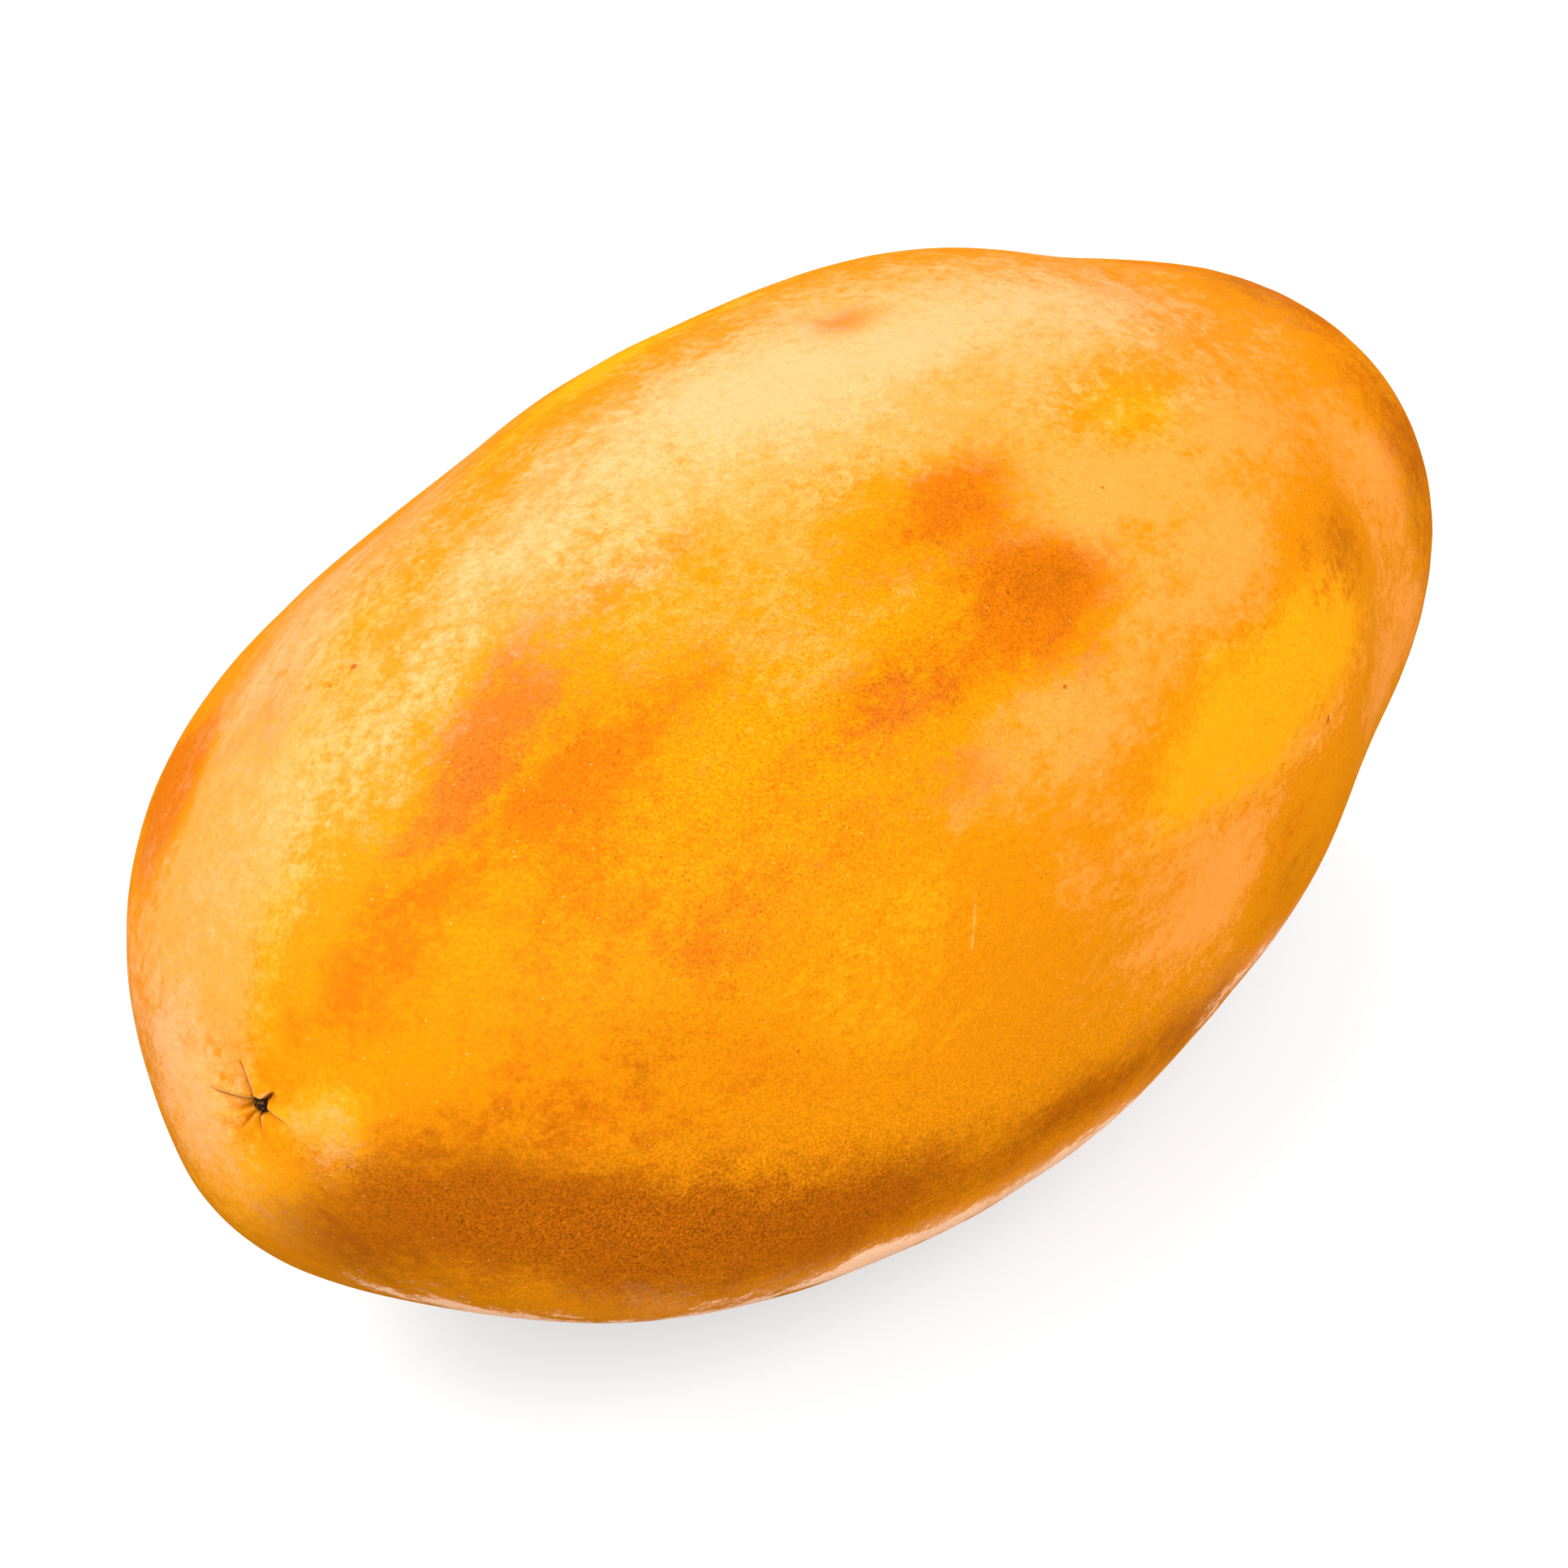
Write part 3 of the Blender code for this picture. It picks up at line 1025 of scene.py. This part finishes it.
# %% Flower rest
REMNANT_RADIUS = 1.25 * MM
REMNANT_THICKNESS = 1.7 * MM
REMNANT_CURL = 0.55
CURL_SIZE = 0.45
CURL_SPREAD = 2.2
FINE_CURLS = 2.7
FINE_CURL_SHARE = 0.5
GAP = 0.3 * MM

remnant_shape = bmesh.new()
bmesh.ops.create_icosphere(remnant_shape, subdivisions=5, radius=1)
thick = REMNANT_THICKNESS / 2
pit_floor = BLOSSOM_PART - DIMPLE_DEPTH - PIT_DEPTH
remnant_middle = Vector((-pit_floor - GAP - thick, 0, 0))
for vert in remnant_shape.verts:
    curls = abs(noise.noise(vert.co / CURL_SIZE))
    curls += FINE_CURL_SHARE * abs(noise.noise(vert.co / CURL_SIZE * FINE_CURLS))
    reach = 1 - REMNANT_CURL * (1 - min(1, CURL_SPREAD * curls)) ** 2
    out = vert.co * reach
    point = Vector((-out.z * thick, out.x * REMNANT_RADIUS, out.y * REMNANT_RADIUS))
    vert.co = lie_down(remnant_middle + point)
remnant = make_object("flower_rest", remnant_shape)
print("flower rest", len(remnant.data.polygons), "faces")

# %% Dry, charred finish
CHAR = (0.016, 0.006, 0.001, 1)
DRY_EDGE = (0.30, 0.13, 0.035, 1)
FLAKE_SIZE = 0.35 * MM
FLAKE_EDGE = (0.5, 0.72)
FLAKE_DEPTH = 0.1 * MM
DRY_RELIEF = 0.6
DRY_ROUGHNESS = 0.8
DRY_IOR = 1.15

dry = Web("dry_flower")
flakes = dry.noise(dry.place(), FLAKE_SIZE, detail=4, rough=0.6)
remnant.data.materials.append(
    dry.finish(
        Base_Color=dry.mix(dry.rise(flakes, *FLAKE_EDGE), CHAR, DRY_EDGE),
        Roughness=DRY_ROUGHNESS,
        IOR=DRY_IOR,
        Normal=dry.relief(flakes, DRY_RELIEF, FLAKE_DEPTH),
    )
)
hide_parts("blossom_remnant")
print("dry nodes", len(dry.tree.nodes))

# %% [markdown]
# ## The cut stalk
#
# The stalk was cut a little above the fruit. It is faintly five-sided, widens where it joins
# the fruit, and its bark is ribbed along its length. The cut face has dried: a pale ring of
# fibres inside the bark, and a softer, sunken pith with a small hollow. A cone gives the
# sides, and three insets of its end face give the rings.

# %% Stalk's blank
STALK_LENGTH = 8.5 * MM
STALK_RADIUS = 5.2 * MM
STALK_FOOT_RADIUS = 6.6 * MM
STALK_ROUNDING = 0.6 * MM
STALK_SIDES = 160
STALK_RINGS = 16
BARK_WIDTH = 0.9 * MM
PITH_INSET = 1.7 * MM
FIBRE_DROP = 0.15 * MM
PITH_DROP = 0.25 * MM
HEART_INSET = 0.4 * MM
HEART_DROP = 0.4 * MM

stalk_shape = bmesh.new()
bmesh.ops.create_cone(
    stalk_shape,
    cap_ends=True,
    segments=STALK_SIDES,
    radius1=STALK_FOOT_RADIUS,
    radius2=STALK_RADIUS,
    depth=STALK_LENGTH,
)
sides = [edge for edge in stalk_shape.edges if len({vert.co.z for vert in edge.verts}) == 2]
bmesh.ops.subdivide_edges(stalk_shape, edges=sides, cuts=STALK_RINGS)
top = max(vert.co.z for vert in stalk_shape.verts)
rim = [edge for edge in stalk_shape.edges if all(vert.co.z == top for vert in edge.verts)]
bmesh.ops.bevel(
    stalk_shape,
    geom=rim,
    offset=STALK_ROUNDING,
    offset_type="OFFSET",
    affect="EDGES",
    segments=4,
    profile=0.5,
    material=-1,
)
cut_face = max(stalk_shape.faces, key=lambda face: face.calc_center_median().z)
steps_inward = (
    (BARK_WIDTH, FIBRE_DROP),
    (PITH_INSET, PITH_DROP),
    (HEART_INSET, HEART_DROP),
)
for inset, drop in steps_inward:
    bmesh.ops.inset_region(stalk_shape, faces=[cut_face], thickness=inset, depth=-drop)
print("stalk's blank", len(stalk_shape.faces), "faces")

# %% Foot, angles, ribs and uneven cut
STALK_FLARE = 3
STALK_ANGLE_SHARE = 0.05
RIBS = 30
RIB_DEPTH = 0.12 * MM
RIB_FADE = 3
RIB_WANDER = 3
RIB_WANDERS_ROUND = 2
RIB_WANDER_HEIGHT = 6 * MM
CUT_UNEVEN = 0.12 * MM
CUT_UNEVEN_SIZE = 1.1 * MM
CUT_PART = 0.1

widening = STALK_FOOT_RADIUS - STALK_RADIUS
for vert in stalk_shape.verts:
    around = atan2(vert.co.y, vert.co.x)
    radius = hypot(vert.co.x, vert.co.y)
    down = 0.5 - vert.co.z / STALK_LENGTH
    flare = (STALK_RADIUS + widening * down**STALK_FLARE) / (STALK_RADIUS + widening * down)
    angles = 1 + STALK_ANGLE_SHARE * cos(RIDGES * (around - FIRST_RIDGE))
    wound = RIB_WANDERS_ROUND * Vector((cos(around), sin(around), 0))
    wound.z = vert.co.z / RIB_WANDER_HEIGHT
    rib = cos(RIBS * around + RIB_WANDER * noise.noise(wound)) - 1
    ribs = RIB_DEPTH * rib * (radius / STALK_RADIUS) ** RIB_FADE
    radius = radius * flare * angles + ribs
    lift = CUT_UNEVEN * noise.noise(vert.co / CUT_UNEVEN_SIZE) if down < CUT_PART else 0
    height = seat_place() + GAP + STALK_LENGTH / 2 + vert.co.z + lift
    vert.co = lie_down(Vector((height, radius * cos(around), radius * sin(around))))
stalk = make_object("cut_stalk", stalk_shape)
print("stalk", len(stalk.data.polygons), "faces")

# %% [markdown]
# ## Bark and cut face
#
# The bark is brown, paler on its ribs and greenish in places, and the dried cut is the colour
# of straw. Two materials would need a clean seam between their faces. One material that looks
# at how far a point lies behind the cut gives the worn edge of a real cut.

# %% Bark and cut
BARK_DARK = (0.10, 0.055, 0.02, 1)
BARK_PALE = (0.26, 0.17, 0.06, 1)
BARK_GREEN = (0.16, 0.15, 0.045, 1)
FIBRE_DARK = (0.36, 0.22, 0.09, 1)
FIBRE_PALE = (0.62, 0.47, 0.26, 1)
BARK_SIZE = 1.2 * MM
ALONG_BARK = (0.2, 1, 1)
BARK_PALES = (0.35, 0.65)
BARK_DEPTH = 0.2 * MM
BARK_RELIEF = 0.6
BARK_ROUGHNESS = 0.75
PATCH_SIZE = 4 * MM
PATCH_EDGE = (0.5, 0.7)
PATCH_SHOWS = 0.6
FIBRE_SIZE = 0.5 * MM
FIBRES_PALE = (0.35, 0.7)
CUT_FADES = (0.3 * MM, 1.1 * MM)

stalk_end = lie_down(Vector((seat_place() + GAP + STALK_LENGTH, 0, 0)))
axis = Matrix.Rotation(TILT, 3, "Y") @ Vector((1, 0, 0))
bark = Web("stalk_bark")
place = bark.place()
along_axis = bark.vector("DOT_PRODUCT", place, tuple(axis), output="Value")
behind_cut = stalk_end.dot(axis) - along_axis
ribbed = bark.noise(bark.stretched(place, ALONG_BARK), BARK_SIZE, detail=6, rough=0.65)
patches = bark.noise(place, PATCH_SIZE, detail=5, rough=0.6)
fibres = bark.noise(place, FIBRE_SIZE, detail=5, rough=0.7)
bark_colour = bark.mix(bark.rise(ribbed, *BARK_PALES), BARK_DARK, BARK_PALE)
greener = bark.rise(patches, *PATCH_EDGE) * PATCH_SHOWS
bark_colour = bark.mix(greener, bark_colour, BARK_GREEN)
cut_colour = bark.mix(bark.rise(fibres, *FIBRES_PALE), FIBRE_DARK, FIBRE_PALE)
on_cut = 1 - bark.rise(behind_cut, *CUT_FADES)
stalk.data.materials.append(
    bark.finish(
        Base_Color=bark.mix(on_cut, bark_colour, cut_colour),
        Roughness=BARK_ROUGHNESS,
        Normal=bark.relief(ribbed, BARK_RELIEF, BARK_DEPTH),
    )
)
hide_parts("stem_stub")
print("bark nodes", len(bark.tree.nodes))

# %% [markdown]
# ## The table
#
# The fruit lies on a plain white table. A table this bright would light the underside of the
# fruit until its colours washed out. A grey table would look dull. So the camera sees the
# table white, and the light that it sends back up to the fruit is dimmer.

# %% Table
TABLE_REACH = 4
SEEN = (0.36, 0.38, 0.39, 1)
GLOW = 0.52
TABLE_ROUGHNESS = 0.9
DIM = (0.12, 0.12, 0.12, 1)
MIDDLE = (0.35, 0.35, 0.35, 1)
WHITE = (1, 1, 1, 1)
BLACK = (0, 0, 0, 1)

table_shape = bmesh.new()
bmesh.ops.create_grid(table_shape, x_segments=1, y_segments=1, size=TABLE_REACH)
table = make_object("table", table_shape)
white = Web("white_table")
soft = white.node("ShaderNodeLightPath", {}, output="Is Diffuse Ray")
seen = soft.beside("Is Camera Ray")
bounced = 1 - seen
table.data.materials.append(
    white.finish(
        Base_Color=white.mix(bounced, SEEN, white.mix(soft, DIM, MIDDLE)),
        Roughness=TABLE_ROUGHNESS,
        Emission_Color=white.mix(bounced, WHITE, BLACK),
        Emission_Strength=GLOW,
    )
)
print("table nodes", len(white.tree.nodes))

# %% [markdown]
# ## The light
#
# The light is very soft, as from large diffusers. Four wide suns stand for them: one overhead,
# one to the left, a stronger one to the right in front, and a faint one behind, with an even
# pale sky all round. They give part of the pale sheen along the fruit's back and of the dusk
# under it, and only a faint shadow. The rest of that sheen is painted on the ridge, and the
# rest of the dusk is painted shade on the underside. Panels of light would do the same, but a
# sun stays as bright at any distance, so it needs no place.

# %% Light
VIEW_TURN = radians(53.449)
SKY = 0.6
away = Vector((sin(VIEW_TURN), cos(VIEW_TURN), 0))
left = Vector((-away.y, away.x, 0))
above = Vector((0, 0, 1))

world = bpy.data.worlds.new("studio")
bpy.context.scene.world = world
world.use_nodes = True
sky = world.node_tree.nodes["Background"]
sky.inputs["Color"].default_value = WHITE
sky.inputs["Strength"].default_value = SKY


def soft_sun(name, light_from, strength, softness):
    """A wide, soft light from a direction."""
    light = bpy.data.objects.new(name, bpy.data.lights.new(name, "SUN"))
    light.data.energy = strength
    light.data.angle = softness
    light.rotation_mode = "QUATERNION"
    light.rotation_quaternion = light_from.to_track_quat("Z", "Y")
    bpy.context.scene.collection.objects.link(light)


soft_sun("overhead", above + 0.45 * left + 0.2 * away, 3.0, radians(60))
soft_sun("left_front", 0.7 * above - 0.5 * away + left, 2.3, radians(60))
soft_sun("right_front", 0.6 * above - away - 0.6 * left, 4.8, radians(70))
soft_sun("back_box", away + above, 0.8, radians(50))
bpy.context.scene.view_settings.view_transform = "Standard"

# %% [markdown]
# ## The camera
#
# The camera looks down on the blossom end from the front left. It stands far enough away for
# the fruit to keep its true proportions. Its lens is worked out from how large the fruit
# should appear, and its shift puts the fruit where it belongs in the square picture.

# %% Camera
VIEW_HEIGHT = radians(32)
PHOTO_SIZE = 1932
PIXELS_PER_METRE = 8587
CAMERA_DISTANCE = 1.2
SENSOR_MM = 36
FRUIT_AT = (937.5, 971.2)

back = Vector(
    (-sin(VIEW_TURN) * cos(VIEW_HEIGHT), -cos(VIEW_TURN) * cos(VIEW_HEIGHT), sin(VIEW_HEIGHT))
)
right = Vector((cos(VIEW_TURN), -sin(VIEW_TURN), 0))
up = back.cross(right)
camera = bpy.data.objects.new("camera", bpy.data.cameras.new("camera"))
camera.matrix_world = Matrix.Translation(WIDEST_PLACE + back * CAMERA_DISTANCE) @ Matrix(
    (right, up, back)
).transposed().to_4x4()
camera.data.sensor_width = SENSOR_MM
camera.data.lens = SENSOR_MM * PIXELS_PER_METRE * CAMERA_DISTANCE / PHOTO_SIZE
camera.data.shift_x = 0.5 - FRUIT_AT[0] / PHOTO_SIZE
camera.data.shift_y = FRUIT_AT[1] / PHOTO_SIZE - 0.5
bpy.context.scene.collection.objects.link(camera)
bpy.context.scene.camera = camera
print("lens", round(camera.data.lens, 1), "mm")

# %% [markdown]
